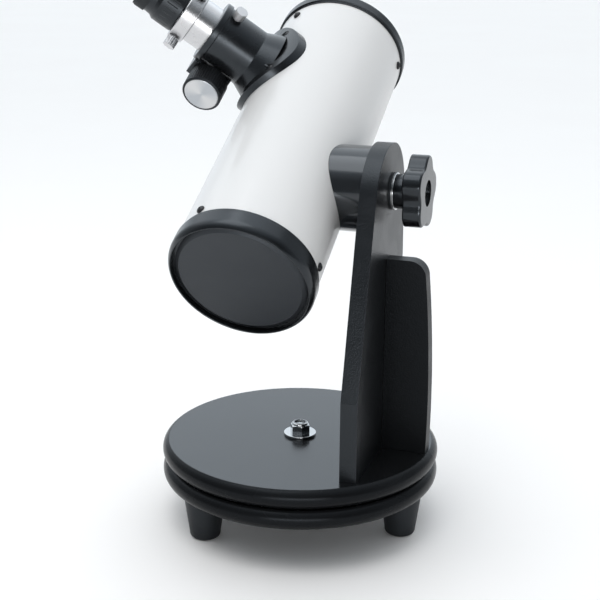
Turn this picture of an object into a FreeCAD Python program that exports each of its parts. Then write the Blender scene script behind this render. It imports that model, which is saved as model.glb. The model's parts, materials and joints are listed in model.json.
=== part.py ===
import FreeCAD, Part
import math
import os

V = FreeCAD.Vector
UP = V(0, 0, 1)
SIDE = V(1, 0, 0)

# ---- main sizes (mm): floor at z = 0, azimuth axis at x = y = 0 ----
board_radius = 98.0
board_thickness = 14.0
board_gap = 1.5
trim_crown = 4.5
trim_corner = 0.3
tongue_depth = 7.0
tongue_half = 1.2
foot_height = 31.6
foot_circle_radius = 82.3
foot_count = 3
foot_first_angle = -128.0
foot_top_radius = 15.0
foot_bottom_radius = 10.75
foot_edge_round = 3.0

arm_inner_x = 52.0
arm_thickness = 12.0
arm_front_y = -70.5
arm_back_bottom_y = 49.0
arm_back_top_y = 39.6
arm_kink_height = 57.0
arm_top_front_y = -26.8
arm_height = 221.5
arm_front_round = 41.0
arm_back_round = 34.5
brace_front_y = -4.0
brace_thickness = 12.0
brace_bottom_width = 32.5
brace_belly_width = 32.9
brace_belly_height = 55.0
brace_top_width = 27.4
brace_height = 142.0
brace_corner_round = 12.0

altitude_y = 8.5
altitude_height = 187.8
tube_tilt = 30.0
tube_radius = 50.0
tube_wall = 1.2
tube_rear = -80.0
tube_front = 158.0
hinge_station = 4.6
rear_ring_end = -97.0
ring_stand_out = 1.5
rear_disc_radius = 43.2
rear_disc_face = -95.2
rear_disc_thickness = 3.0
rear_disc_bevel = 3.2
rear_disc_bevel_depth = 2.3
rear_groove = 1.8
front_ring_end = 169.0
front_ring_stand_out = 1.6
front_opening_inset = 5.0
skirt_thickness = 2.0
skirt_length = 12.0
ring_screw_rear = -75.5
ring_screw_front = 150.0
ring_screw_angles = (0.0, 120.0, 240.0)

mirror_radius = 38.0
mirror_thickness = 8.0
focal_length = 300.0
cell_gap = 2.7
cell_opening_radius = 20.0
cell_thickness = 3.0
secondary_radius = 10.5
secondary_thickness = 3.0

hub_radius = 30.3
hub_length = 17.9
hub_arm_gap = 1.1
stud_radius = 4.0
knob_radius = 26.2
knob_rear_offset = 12.0
knob_thickness = 13.0
knob_lobes = 5
knob_lobe_phase = 27.4
knob_waist = 5.0
knob_recess_radius = 9.2
knob_recess_depth = 2.4
neck_radius = 12.0

focuser_angle = 138.0
focuser_station = 95.0
flange_thickness = 5.0
flange_overhang = 13.5
housing_wall = 5.0
housing_height = 48.0
drawtube_radius = 17.5
drawtube_clear = 12.0
collar_wall = 3.5
collar_clear = 62.0
collar_length = 11.0
pinion_height_above_tube = 28.7
pinion_pitch_radius = 5.0
pinion_teeth = 20
block_overhang = 0.5
block_clear = 15.0
block_height = 31.0
block_reach = 9.0
focus_knob_radius = 15.0
focus_knob_length = 18.0
focus_cap_inset = 1.8
barrel_radius = 15.875
barrel_wall = 1.4
barrel_length = 27.0

# ---- fits (radial clearances, mm) ----
running = 0.05
sliding = 0.03
thread_fit = 0.03
press = 0.0
loose = 0.15
rest_gap = 0.1
barrel_fit = 0.075

# ---- screws ----
bolt_radius = 4.0
hex_flat = 13.0
washer_radius = 12.0
washer_thickness = 2.0
screw_radius = 2.0
screw_head_radius = 3.6
screw_head_height = 2.2
small_screw_radius = 1.5
small_head_radius = 3.0
small_head_height = 1.8

# ---- heights worked out from the sizes ----
lower_bottom = foot_height
lower_top = lower_bottom + board_thickness
upper_bottom = lower_top + board_gap
upper_top = upper_bottom + board_thickness
altitude_z = upper_top + altitude_height
arm_outer_x = arm_inner_x + arm_thickness
hub_end = arm_inner_x - hub_arm_gap
tube_axis_x = hub_end - hub_length - tube_radius
tube_bore = tube_radius - tube_wall
rear_ring_radius = tube_radius + ring_stand_out
front_ring_radius = tube_radius + front_ring_stand_out
front_opening_radius = tube_radius - front_opening_inset
housing_radius = drawtube_radius + housing_wall
housing_top = tube_radius + housing_height
flange_radius = housing_radius + flange_overhang
drawtube_bore = barrel_radius + barrel_fit
drawtube_bottom = tube_radius + drawtube_clear
collar_bottom = tube_radius + collar_clear
collar_top = collar_bottom + collar_length
collar_radius = drawtube_radius + collar_wall
rack_line = drawtube_radius + 0.5
block_half_length = drawtube_radius + block_overhang
pinion_offset = rack_line + pinion_pitch_radius
pinion_height = tube_radius + pinion_height_above_tube
block_bottom = tube_radius + block_clear
block_top = block_bottom + block_height
block_outer = pinion_offset + block_reach
focus_cap_radius = focus_knob_radius - focus_cap_inset
shapes = {}


def keep(name, shape):
    shapes[name] = shape


def rod(radius, start, end, axis=UP, at=V(0, 0, 0)):
    """Round bar along axis between two distances from the point."""
    direction = V(axis)
    direction.normalize()
    foot = at + direction * start
    return Part.makeCylinder(radius, end - start, foot, direction)


def pipe(outer, inner, start, end, axis=UP, at=V(0, 0, 0)):
    return rod(outer, start, end, axis, at).cut(rod(inner, start - 1, end + 1, axis, at))


def outline_face(points, origin, along, lift):
    """Flat face from (along, lift) points; a point of four numbers ends an arc through its first two."""
    def place(a, b):
        return origin + along * a + lift * b
    here = place(*points[0])
    first = here
    edges = []
    for point in points[1:]:
        there = place(*point[-2:])
        if len(point) == 4:
            edges.append(Part.Arc(here, place(*point[:2]), there).toShape())
        else:
            edges.append(Part.LineSegment(here, there).toShape())
        here = there
    edges.append(Part.LineSegment(here, first).toShape())
    return Part.Face(Part.Wire(edges))


def turned(points):
    """Solid turned about Z from (radius, height) points."""
    return outline_face(points, V(0, 0, 0), SIDE, UP).revolve(V(0, 0, 0), UP, 360)


def slab(points, thickness, origin, along, lift):
    """Flat plate: outline points measured along and lift, thickened across them."""
    return outline_face(points, origin, along, lift).extrude(along.cross(lift) * thickness)


def block(x0, x1, y0, y1, z0, z1):
    return Part.makeBox(x1 - x0, y1 - y0, z1 - z0, V(x0, y0, z0))


def round_edges(shape, radius, chosen):
    picked = [edge for edge in shape.Edges if chosen(edge)]
    return shape.makeFillet(radius, picked)


def moved(shape, placement):
    copy = shape.copy()
    copy.Placement = placement.multiply(copy.Placement)
    return copy


def facing(point, direction):
    return FreeCAD.Placement(point, FreeCAD.Rotation(UP, direction))


def pan_screw(radius, length, head_radius, head_height):
    """Domed cross-head screw: seat at z = 0, shank below it."""
    head = turned([(0, 0), (head_radius, 0), (head_radius, head_height * 0.35),
                   (head_radius * 0.72, head_height * 0.86, 0, head_height)])
    shank = rod(radius, -length, 0)
    screw = head.fuse(shank)
    slot_half = head_radius * 0.12
    slot_reach = head_radius * 0.55
    for turn in (0, 90):
        slot = block(-slot_reach, slot_reach, -slot_half, slot_half, head_height * 0.5, head_height * 2)
        slot.rotate(V(0, 0, 0), UP, turn)
        screw = screw.cut(slot)
    return screw


def hexagon(flat, start, end):
    corner = flat / 2 / math.cos(math.pi / 6)
    ring = []
    for i in range(7):
        angle = math.radians(60 * i)
        ring.append(V(corner * math.cos(angle), corner * math.sin(angle), start))
    return Part.Face(Part.makePolygon(ring)).extrude(V(0, 0, end - start))


def polar(radius, degrees, z=0.0):
    angle = math.radians(degrees)
    return V(radius * math.cos(angle), radius * math.sin(angle), z)


# ---------------------------------------------------------------- base
def foot_angles():
    return [foot_first_angle + 360.0 / foot_count * i for i in range(foot_count)]


def board(bottom, centre_hole):
    middle = bottom + board_thickness / 2
    top = bottom + board_thickness
    groove_half = tongue_half + 0.05
    groove_in = board_radius - tongue_depth - 0.4
    disc = turned([(0, bottom), (board_radius, bottom), (board_radius, middle - groove_half),
                   (groove_in, middle - groove_half), (groove_in, middle + groove_half),
                   (board_radius, middle + groove_half), (board_radius, top), (0, top)])
    return disc.cut(rod(centre_hole, bottom - 1, top + 1))


def edge_trim(bottom):
    middle = bottom + board_thickness / 2
    top = bottom + board_thickness
    outer = board_radius + trim_crown
    corner = board_radius + trim_corner
    tip = board_radius - tongue_depth
    return turned([(board_radius, bottom), (corner, bottom), (outer, middle, corner, top),
                   (board_radius, top), (board_radius, middle + tongue_half),
                   (tip, middle + tongue_half), (tip, middle - tongue_half),
                   (board_radius, middle - tongue_half)])


screw_recess_radius = 5.0
foot_screw_seat = 21.0
foot_screw_length = 20.0


def foot():
    cone = Part.makeCone(foot_bottom_radius, foot_top_radius, foot_height)
    cone = round_edges(cone, foot_edge_round, lambda e: e.BoundBox.ZMax < 0.1)
    cone = cone.cut(rod(screw_recess_radius, -1, foot_screw_seat))
    return cone.cut(rod(screw_radius + loose, foot_screw_seat - 1, foot_height + 1))


def build_base():
    lower = board(lower_bottom, bolt_radius + loose)
    screws = []
    seat = foot()
    for index, angle in enumerate(foot_angles()):
        spot = polar(foot_circle_radius, angle)
        keep("foot_%d" % (index + 1), moved(seat, FreeCAD.Placement(spot, FreeCAD.Rotation())))
        tip = foot_screw_seat + foot_screw_length
        lower = lower.cut(rod(screw_radius + thread_fit, lower_bottom - 1, tip + 0.5, UP, spot))
        screw = pan_screw(screw_radius, foot_screw_length, screw_head_radius, screw_head_height)
        screws.append(moved(screw, facing(spot + V(0, 0, foot_screw_seat), V(0, 0, -1))))
    keep("lower_board", lower)
    keep("lower_edge_trim", edge_trim(lower_bottom))
    keep("foot_screws", Part.makeCompound(screws))
    pads = []
    pad_circle = 70.0
    pad_radius = 9.0
    for angle in foot_angles():
        spot = polar(pad_circle, angle)
        pads.append(rod(pad_radius, lower_top, upper_bottom - rest_gap, UP, spot))
    keep("glide_pads", Part.makeCompound(pads))
    build_azimuth_bolt()


bolt_head_height = 5.3
bolt_length = 40.0
lock_nut_hex = 6.3
lock_nut_height = 8.0
thin_washer = 1.6
nut_shoulder = 0.5


def build_azimuth_bolt():
    head_top = lower_bottom - thin_washer
    tip = head_top + bolt_length
    shank = rod(bolt_radius, head_top, tip)
    shank = shank.makeChamfer(0.8, [e for e in shank.Edges if e.BoundBox.ZMin > tip - 0.1])
    bolt = hexagon(hex_flat, head_top - bolt_head_height, head_top).fuse(shank)
    keep("azimuth_bolt", bolt)
    under = pipe(washer_radius, bolt_radius + loose, head_top, lower_bottom)
    over = pipe(washer_radius, bolt_radius + loose, upper_top + rest_gap,
                upper_top + rest_gap + washer_thickness)
    rim = [e for e in over.Edges if e.BoundBox.XLength > washer_radius * 1.9]
    keep("azimuth_under_washer", under)
    keep("azimuth_washer", over.makeFillet(0.4, rim))
    seat = upper_top + rest_gap + washer_thickness
    corner = hex_flat / 2 / math.cos(math.pi / 6)
    neck = hex_flat / 2 - nut_shoulder
    nut = hexagon(hex_flat, seat, seat + lock_nut_hex)
    edge_cone = turned([(0, seat), (corner, seat), (corner, seat + lock_nut_hex - 0.9),
                        (hex_flat / 2 - 0.3, seat + lock_nut_hex + 0.2), (0, seat + lock_nut_hex + 0.2)])
    nut = nut.common(edge_cone)
    collar = turned([(0, seat + 1), (neck, seat + 1),
                     (neck, seat + lock_nut_height - 1.2),
                     (neck - 0.4, seat + lock_nut_height - 0.4,
                      neck - 1.2, seat + lock_nut_height),
                     (0, seat + lock_nut_height)])
    nut = nut.fuse(collar).cut(rod(bolt_radius + thread_fit, seat - 1, seat + lock_nut_height + 1))
    keep("azimuth_lock_nut", nut)


# ----------------------------------------------------------- turntable
azimuth_bush_radius = 7.0
altitude_bush_radius = 8.0
altitude_flange_radius = 20.0
arm_screw_length = 34.0
arm_screw_ys = (-58.0, -10.0, 36.0)
brace_screw_xs = (72.0, 88.0)
cross_screw_heights = (35.0, 110.0)
cross_screw_length = 32.0
fibre_washer = 1.2
steel_washer = 2.0
arm_washer_radius = 13.0


def arm_outline():
    return [(arm_front_y, 0), (arm_front_y, arm_kink_height), (arm_top_front_y, arm_height),
            (arm_back_top_y, arm_height), (arm_back_bottom_y, 0)]


def side_arm():
    plate = slab(arm_outline(), arm_thickness, V(arm_inner_x, 0, upper_top), V(0, 1, 0), UP)
    middle_x = arm_inner_x + arm_thickness / 2
    for y, radius in ((arm_top_front_y, arm_front_round), (arm_back_top_y, arm_back_round)):
        corner = V(middle_x, y, upper_top + arm_height)
        plate = round_edges(plate, radius, lambda e: e.CenterOfMass.distanceToPoint(corner) < 0.5)
    hinge = V(0, altitude_y, altitude_z)
    plate = plate.cut(rod(altitude_bush_radius + press, arm_inner_x - 1, arm_outer_x + 1, SIDE, hinge))
    for y in arm_screw_ys:
        reach = upper_bottom + arm_screw_length
        plate = plate.cut(rod(screw_radius + thread_fit, upper_top - 1, reach + 3, UP, V(middle_x, y, 0)))
    middle_y = brace_front_y + brace_thickness / 2
    for height in cross_screw_heights:
        spot = V(arm_inner_x, middle_y, upper_top + height)
        plate = plate.cut(rod(screw_radius + loose, -1, arm_thickness + 1, SIDE, spot))
        plate = plate.cut(rod(screw_head_radius + loose, -1, screw_head_height + 0.4, SIDE, spot))
    return plate


def brace():
    points = [(0, 0), (brace_bottom_width, 0),
              (brace_belly_width, brace_belly_height, brace_top_width, brace_height), (0, brace_height)]
    back = brace_front_y + brace_thickness
    middle_y = brace_front_y + brace_thickness / 2
    plate = slab(points, brace_thickness, V(arm_outer_x, back, upper_top), SIDE, UP)
    corner = V(arm_outer_x + brace_top_width, middle_y, upper_top + brace_height)
    plate = round_edges(plate, brace_corner_round, lambda e: e.CenterOfMass.distanceToPoint(corner) < 0.5)
    for x in brace_screw_xs:
        reach = upper_bottom + arm_screw_length
        plate = plate.cut(rod(screw_radius + thread_fit, upper_top - 1, reach + 3, UP, V(x, middle_y, 0)))
    for height in cross_screw_heights:
        spot = V(arm_inner_x, middle_y, upper_top + height)
        plate = plate.cut(rod(screw_radius + thread_fit, arm_thickness - 1, cross_screw_length + 4, SIDE, spot))
    return plate


def build_turntable():
    upper = board(upper_bottom, azimuth_bush_radius + press)
    middle_x = arm_inner_x + arm_thickness / 2
    middle_y = brace_front_y + brace_thickness / 2
    spots = [V(middle_x, y, 0) for y in arm_screw_ys] + [V(x, middle_y, 0) for x in brace_screw_xs]
    screws = []
    recess = screw_head_height + 0.6
    for spot in spots:
        upper = upper.cut(rod(screw_radius + loose, upper_bottom - 1, upper_top + 1, UP, spot))
        upper = upper.cut(rod(screw_head_radius + loose, upper_bottom - 1, upper_bottom + recess, UP, spot))
        screw = pan_screw(screw_radius, arm_screw_length - recess, screw_head_radius, screw_head_height)
        screws.append(moved(screw, facing(spot + V(0, 0, upper_bottom + recess), V(0, 0, -1))))
    keep("upper_board", upper)
    keep("upper_edge_trim", edge_trim(upper_bottom))
    keep("board_screws", Part.makeCompound(screws))
    keep("azimuth_bush", pipe(azimuth_bush_radius, bolt_radius + running, upper_bottom, upper_top))
    keep("side_arm", side_arm())
    keep("brace_board", brace())
    cross = []
    for height in cross_screw_heights:
        seat = V(arm_inner_x + screw_head_height + 0.4, middle_y, upper_top + height)
        screw = pan_screw(screw_radius, cross_screw_length - screw_head_height, screw_head_radius, screw_head_height)
        cross.append(moved(screw, facing(seat, V(-1, 0, 0))))
    keep("brace_screws", Part.makeCompound(cross))
    hinge = V(0, altitude_y, altitude_z)
    bush = rod(altitude_bush_radius, arm_inner_x - 1, arm_outer_x, SIDE, hinge)
    bush = bush.fuse(rod(altitude_flange_radius, arm_inner_x - 1, arm_inner_x, SIDE, hinge))
    bush = bush.cut(rod(stud_radius + running, arm_inner_x - 2, arm_outer_x + 1, SIDE, hinge))
    keep("altitude_bush", bush)
    fibre_end = arm_outer_x + fibre_washer
    hole = stud_radius + running
    keep("fibre_washer", pipe(arm_washer_radius, hole, arm_outer_x, fibre_end, SIDE, hinge))
    steel = pipe(arm_washer_radius, hole, fibre_end, fibre_end + steel_washer, SIDE, hinge)
    keep("arm_washer", round_edges(steel, 0.4, lambda e: e.BoundBox.ZLength > arm_washer_radius * 1.9))


# ---------------------------------------------------------------- tube
# Tube parts are drawn standing on Z, which is the tube's own axis, with angles
# counted from +X towards the tube's upper side, then leaned over together so
# that hinge_station comes to the altitude axis.
lean = FreeCAD.Rotation(SIDE, -(90.0 - tube_tilt))
tube_place = FreeCAD.Placement(V(tube_axis_x, altitude_y, altitude_z) - lean.multVec(UP) * hinge_station, lean)
wall_inside = tube_radius - 10.0
wall_outside = tube_radius + 10.0


def around(radius, degrees, station=0.0):
    return polar(radius, -degrees, station)


def on_tube(shape):
    return moved(shape, tube_place)


def focuser_place():
    outward = around(1.0, focuser_angle)
    along = UP
    across = outward.cross(along)
    matrix = FreeCAD.Matrix(along.x, across.x, outward.x, 0, along.y, across.y, outward.y, 0,
                            along.z, across.z, outward.z, focuser_station, 0, 0, 0, 1)
    return tube_place.multiply(FreeCAD.Placement(matrix))


def on_focuser(shape):
    return moved(shape, focuser_place())


hub_screw_stations = (hinge_station - 19.0, hinge_station + 19.0)
focuser_screw_reach = (housing_radius + 7.2) / math.sqrt(2)
focuser_screw_spots = [(s * focuser_screw_reach, w * focuser_screw_reach) for s in (-1, 1) for w in (-1, 1)]
focuser_hole = drawtube_radius + 1.5
inner_seat = math.sqrt(tube_bore ** 2 - screw_head_radius ** 2) - 0.02


def tube_shell():
    shell = pipe(tube_radius, tube_bore, tube_rear, tube_front)
    for station in (ring_screw_rear, ring_screw_front):
        for angle in ring_screw_angles:
            out = around(1.0, angle)
            shell = shell.cut(rod(small_screw_radius + loose, wall_inside, wall_outside, out, V(0, 0, station)))
    for station in hub_screw_stations:
        shell = shell.cut(rod(screw_radius + loose, wall_inside, wall_outside, SIDE, V(0, 0, station)))
    out = around(1.0, focuser_angle)
    shell = shell.cut(rod(focuser_hole, wall_inside - 15, wall_outside, out, V(0, 0, focuser_station)))
    across = out.cross(UP)
    for along, side in focuser_screw_spots:
        spot = V(0, 0, focuser_station + along) + across * side
        shell = shell.cut(rod(small_screw_radius + loose, wall_inside - 15, wall_outside, out, spot))
    return shell


def ring_holes(ring, station):
    for angle in ring_screw_angles:
        out = around(1.0, angle)
        ring = ring.cut(rod(small_screw_radius + thread_fit, wall_inside, wall_outside, out, V(0, 0, station)))
    return ring


ring_screw_length = 6.0


def ring_screws(station):
    screws = []
    for angle in ring_screw_angles:
        screw = pan_screw(small_screw_radius, ring_screw_length, small_head_radius, small_head_height)
        seat = around(tube_radius + 0.02, angle, station)
        screws.append(on_tube(moved(screw, facing(seat, around(1.0, angle)))))
    return Part.makeCompound(screws)


skirt_outer = tube_bore - 0.1
skirt_inner = skirt_outer - skirt_thickness
band_radius = tube_radius + 0.7


web_rear = rear_disc_face + rear_disc_thickness
web_thickness = 4.2
web_opening = 34.0


def rear_ring():
    web_front = web_rear + web_thickness
    lip = rear_disc_radius + rear_disc_bevel + rear_groove
    profile = [(skirt_inner, tube_rear + skirt_length), (skirt_outer, tube_rear + skirt_length),
               (skirt_outer, tube_rear), (band_radius, tube_rear), (band_radius, tube_rear - 2.2),
               (rear_ring_radius, tube_rear - 2.6), (rear_ring_radius, rear_ring_end + 6.5),
               (rear_ring_radius - 0.75, rear_ring_end + 2.4, lip + 0.9, rear_ring_end),
               (lip + 0.3, rear_ring_end), (lip, rear_ring_end + 0.3), (lip, web_rear),
               (web_opening, web_rear), (web_opening, web_front), (skirt_inner, web_front)]
    return ring_holes(turned(profile), ring_screw_rear)


cell_screw_circle = 40.0


def build_rear():
    keep("tube_shell", on_tube(tube_shell()))
    ring = rear_ring()
    foot_radius = rear_disc_radius + rear_disc_bevel
    bevel_end = rear_disc_face + rear_disc_bevel_depth
    disc = turned([(0, rear_disc_face), (rear_disc_radius, rear_disc_face), (foot_radius, bevel_end),
                   (foot_radius, web_rear), (0, web_rear)])
    disc = round_edges(disc, 0.5, lambda e: e.BoundBox.ZMax < rear_disc_face + 0.1)
    cell_rear = web_rear + web_thickness
    cell_front = cell_rear + cell_thickness
    cell = pipe(skirt_inner - cell_gap, cell_opening_radius, cell_rear, cell_front)
    seat = web_rear + small_head_height + 0.1
    tip = cell_front - 0.4
    screws = []
    posts = []
    clips = []
    pads = []
    for index in range(3):
        spot = around(cell_screw_circle, 60.0 + 120.0 * index)
        ring = ring.cut(rod(small_screw_radius + loose, web_rear - 1, cell_rear + 1, UP, spot))
        ring = ring.cut(rod(small_head_radius + loose, web_rear - 1, seat, UP, spot))
        cell = cell.cut(rod(small_screw_radius + thread_fit, cell_rear - 1, tip + 0.2, UP, spot))
        screw = pan_screw(small_screw_radius, tip - seat, small_head_radius, small_head_height)
        screws.append(on_tube(moved(screw, facing(spot + V(0, 0, seat), V(0, 0, -1)))))
    mirror_back = cell_front + 1.0
    mirror_front = mirror_back + mirror_thickness
    for index in range(3):
        angle = 120.0 * index
        pad_spot = around(30.0, angle)
        pads.append(on_tube(rod(4.0, cell_front, mirror_back, UP, pad_spot)))
        out = around(1.0, angle)
        side = UP.cross(out)
        post = slab([(mirror_radius + 0.4, cell_front), (mirror_radius + 4.0, cell_front),
                     (mirror_radius + 4.0, mirror_front + 0.4), (mirror_radius + 0.4, mirror_front + 0.4)],
                    8.0, side * 4.0, out, UP)
        posts.append(on_tube(post))
        clip = slab([(mirror_radius - 3.0, mirror_front + 0.4), (mirror_radius + 4.0, mirror_front + 0.4),
                     (mirror_radius + 4.0, mirror_front + 1.4), (mirror_radius - 3.0, mirror_front + 1.4)],
                    8.0, side * 4.0, out, UP)
        clips.append(on_tube(clip))
    cell = on_tube(cell)
    for post in posts:
        cell = cell.fuse(post)
    keep("rear_ring", on_tube(ring))
    keep("rear_cover_disc", on_tube(disc))
    keep("cell_screws", Part.makeCompound(screws))
    keep("rear_ring_screws", ring_screws(ring_screw_rear))
    keep("mirror_cell", cell)
    keep("mirror_pads", Part.makeCompound(pads))
    keep("mirror_clips", Part.makeCompound(clips))
    curve = 2 * focal_length
    mirror = rod(mirror_radius, mirror_back, mirror_front)
    mirror = mirror.cut(Part.makeSphere(curve, V(0, 0, mirror_front - mirror_radius ** 2 / (2 * curve) + curve)))
    keep("primary_mirror", on_tube(mirror))


spider_front = tube_front + 2.0
spider_rear = tube_front - 7.5
spider_hub_radius = 9.0
vane_thickness = 1.2
stalk_radius = 3.0


def front_ring():
    profile = [(skirt_inner, tube_front - skirt_length), (skirt_outer, tube_front - skirt_length),
               (skirt_outer, tube_front), (band_radius, tube_front), (band_radius, tube_front + 1.6),
               (front_ring_radius, tube_front + 2.0), (front_ring_radius, front_ring_end - 2.5),
               (front_ring_radius - 0.8, front_ring_end - 0.8, front_ring_radius - 2.6, front_ring_end),
               (front_opening_radius + 1.2, front_ring_end), (front_opening_radius, front_ring_end - 1.2),
               (front_opening_radius, spider_front + 1), (skirt_inner, spider_front + 1)]
    return ring_holes(turned(profile), ring_screw_front)


def build_front():
    keep("front_ring", on_tube(front_ring()))
    keep("front_ring_screws", ring_screws(ring_screw_front))
    spider = rod(spider_hub_radius, spider_rear, spider_front)
    for index in range(3):
        angle = 60.0 + 120.0 * index
        out = around(1.0, angle)
        side = UP.cross(out)
        half = vane_thickness / 2
        vane = slab([(2.0, spider_rear + 1), (skirt_inner - 0.1, spider_rear + 1),
                     (skirt_inner - 0.1, spider_front - 0.5), (2.0, spider_front - 0.5)],
                    vane_thickness, side * half, out, UP)
        foot_plate = slab([(skirt_inner - 1.6, spider_rear + 1), (skirt_inner - 0.15, spider_rear + 1),
                           (skirt_inner - 0.15, spider_front - 0.5), (skirt_inner - 1.6, spider_front - 0.5)],
                          5.0, side * 2.5, out, UP)
        spider = spider.fuse(vane).fuse(foot_plate.common(rod(skirt_inner - 0.05, 0, 200)))
    spider = spider.cut(rod(stalk_radius + thread_fit, spider_rear - 1, spider_front + 1))
    screws = []
    seat = spider_front
    holder_top = focuser_station + 22.0
    for index in range(3):
        spot = around(5.9, 120.0 * index)
        spider = spider.cut(rod(small_screw_radius + thread_fit, spider_rear - 1, spider_front + 1, UP, spot))
        screw = pan_screw(small_screw_radius, spider_front - spider_rear + 3.0, 2.4, small_head_height)
        screws.append(on_tube(moved(screw, FreeCAD.Placement(spot + V(0, 0, seat), FreeCAD.Rotation()))))
    keep("secondary_spider", on_tube(spider))
    keep("collimation_screws", Part.makeCompound(screws))
    # diagonal: the mirror face looks back down the tube and out through the focuser
    out = around(1.0, focuser_angle)
    normal = out - UP
    normal.normalize()
    centre = V(0, 0, focuser_station)
    reach = 3 * secondary_radius
    cutter = Part.makeCylinder(reach, reach * 2, centre, normal)
    mirror_back = Part.makeCylinder(reach, reach * 2, centre - normal * secondary_thickness, normal)
    column = rod(secondary_radius, focuser_station - reach, holder_top)
    holder = column.cut(mirror_back)
    stalk = rod(stalk_radius, holder_top - 1, spider_front)
    keep("secondary_holder", on_tube(holder.fuse(stalk)))
    keep("secondary_mirror", on_tube(column.common(mirror_back).cut(cutter)))


# ------------------------------------------------------------ altitude
insert_radius = 6.0
insert_length = 13.0
hub_edge_round = 1.2
hub_screw_length = 12.0


def build_hub():
    hinge = V(0, altitude_y, altitude_z)
    start = tube_axis_x + math.sqrt(tube_radius ** 2 - hub_radius ** 2) - 1.0
    boss = rod(hub_radius, start, hub_end, SIDE, hinge)
    boss = round_edges(boss, hub_edge_round, lambda e: e.BoundBox.XMin > hub_end - 0.1)
    boss = boss.cut(on_tube(rod(tube_radius + 0.02, tube_rear, tube_front)))
    boss = boss.cut(rod(insert_radius + press, hub_end - insert_length, hub_end + 1, SIDE, hinge))
    screws = []
    for station in hub_screw_stations:
        spot = V(0, 0, station)
        tunnel = on_tube(rod(screw_radius + thread_fit, wall_inside, inner_seat + hub_screw_length + 3, SIDE, spot))
        boss = boss.cut(tunnel)
        screw = pan_screw(screw_radius, hub_screw_length, screw_head_radius, screw_head_height)
        screws.append(on_tube(moved(screw, facing(V(inner_seat, 0, station), V(-1, 0, 0)))))
    keep("altitude_hub", boss)
    keep("hub_screws", Part.makeCompound(screws))
    insert = pipe(insert_radius, stud_radius + thread_fit, hub_end - insert_length, hub_end, SIDE, hinge)
    keep("threaded_insert", insert)


def build_star_knob():
    hinge = V(0, altitude_y, altitude_z)
    washers_end = arm_outer_x + fibre_washer + steel_washer
    rear = arm_outer_x + knob_rear_offset
    points = []
    steps = knob_lobes * 12
    for index in range(steps):
        angle = 360.0 / steps * index
        dip = math.sin(math.radians(angle * knob_lobes / 2)) ** 2
        points.append(polar(knob_radius - knob_waist * dip ** 1.4, angle))
    curve = Part.BSplineCurve()
    curve.interpolate(points, PeriodicFlag=True)
    body = Part.Face(Part.Wire(curve.toShape())).extrude(V(0, 0, knob_thickness))
    body = round_edges(body, 1.6, lambda e: e.BoundBox.ZMin > knob_thickness - 0.1)
    body = round_edges(body, 1.0, lambda e: e.BoundBox.ZMax < 0.1)
    floor = knob_thickness - knob_recess_depth
    body = body.cut(rod(knob_recess_radius, floor, knob_thickness + 1))
    neck = rod(neck_radius, washers_end + rest_gap - rear, 0.5)
    body = body.fuse(neck)
    body = body.cut(rod(stud_radius + thread_fit, washers_end - rear - 1, floor - 1.5))
    # one lobe points straight down before the phase is added
    turn = FreeCAD.Rotation(UP, SIDE)
    place = FreeCAD.Placement(V(rear, altitude_y, altitude_z), turn)
    body = moved(body, place)
    body.rotate(hinge, SIDE, knob_lobe_phase)
    keep("star_knob", body)
    keep("knob_stud", rod(stud_radius, hub_end - insert_length + 1.0, rear + floor - 1.6, SIDE, hinge))


# ------------------------------------------------------------- focuser
# Focuser parts are drawn with X along the tube, Y round it and Z outwards.
rack_half_width = 3.5
rack_root = drawtube_radius - 0.3
shaft_radius = 2.5
tooth_pitch = 2 * math.pi * pinion_pitch_radius / pinion_teeth
tooth_share = 0.36
addendum = 0.45
dedendum = 0.65
cavity_radius = pinion_pitch_radius + addendum + 0.5
cover_thickness = 3.0
cone_flare = 6.0
cone_length = 13.0
rail_width = 9.0
rail_stand_out = 1.2
rim_height = 5.0


def focuser_body():
    """Saddle flange, round housing and pinion block in one casting."""
    foot_z = math.sqrt(tube_radius ** 2 - flange_radius ** 2) - 5.0
    saddle = rod(flange_radius, foot_z, tube_radius + flange_thickness)
    reach = 2 * flange_radius
    shell = rod(tube_radius + flange_thickness, -reach, reach, SIDE)
    saddle = saddle.common(shell)
    cone = Part.makeCone(housing_radius + cone_flare, housing_radius, cone_length, V(0, 0, tube_radius - 0.5))
    tower = rod(housing_radius, foot_z, housing_top)
    body = saddle.fuse(tower).fuse(cone)
    inner = block_outer - cover_thickness
    box = block(-block_half_length, block_half_length, drawtube_radius / 2, inner, block_bottom, block_top)
    box = round_edges(box, 2.0, lambda e: e.BoundBox.XLength > block_half_length and e.CenterOfMass.y > inner - 1)
    for low in (block_bottom, block_top - rail_width):
        half = block_half_length + rail_stand_out
        box = box.fuse(block(-half, half, drawtube_radius - 1.5, inner, low, low + rail_width))
    body = body.fuse(box)
    rim = rod(housing_radius + rail_stand_out, housing_top - rim_height, housing_top)
    body = body.fuse(round_edges(rim, 0.8, lambda e: e.BoundBox.XLength > housing_radius * 2))
    body = body.cut(rod(tube_radius + 0.03, -reach, reach, SIDE))
    body = body.cut(rod(drawtube_radius + sliding, 0, housing_top + 1))
    slot_half = rack_half_width + 0.4
    body = body.cut(block(-slot_half, slot_half, 0, rack_line + addendum + 0.4, 0, housing_top + 1))
    body = body.cut(rod(cavity_radius, -slot_half, slot_half, SIDE, V(0, pinion_offset, pinion_height)))
    body = body.cut(rod(shaft_radius + running, -reach, reach, SIDE, V(0, pinion_offset, pinion_height)))
    body = body.cut(block(-slot_half, slot_half, pinion_offset, block_outer, pinion_height - cavity_radius,
                          pinion_height + cavity_radius))
    return body


cover_screw_spots = [(s * 12.0, block_bottom + 15.5 + h * 11.0) for s in (-1, 1) for h in (-1, 1)]
lock_height = housing_top - 10.0
lock_screw_radius = 2.0
focuser_screw_length = 8.0


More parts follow.
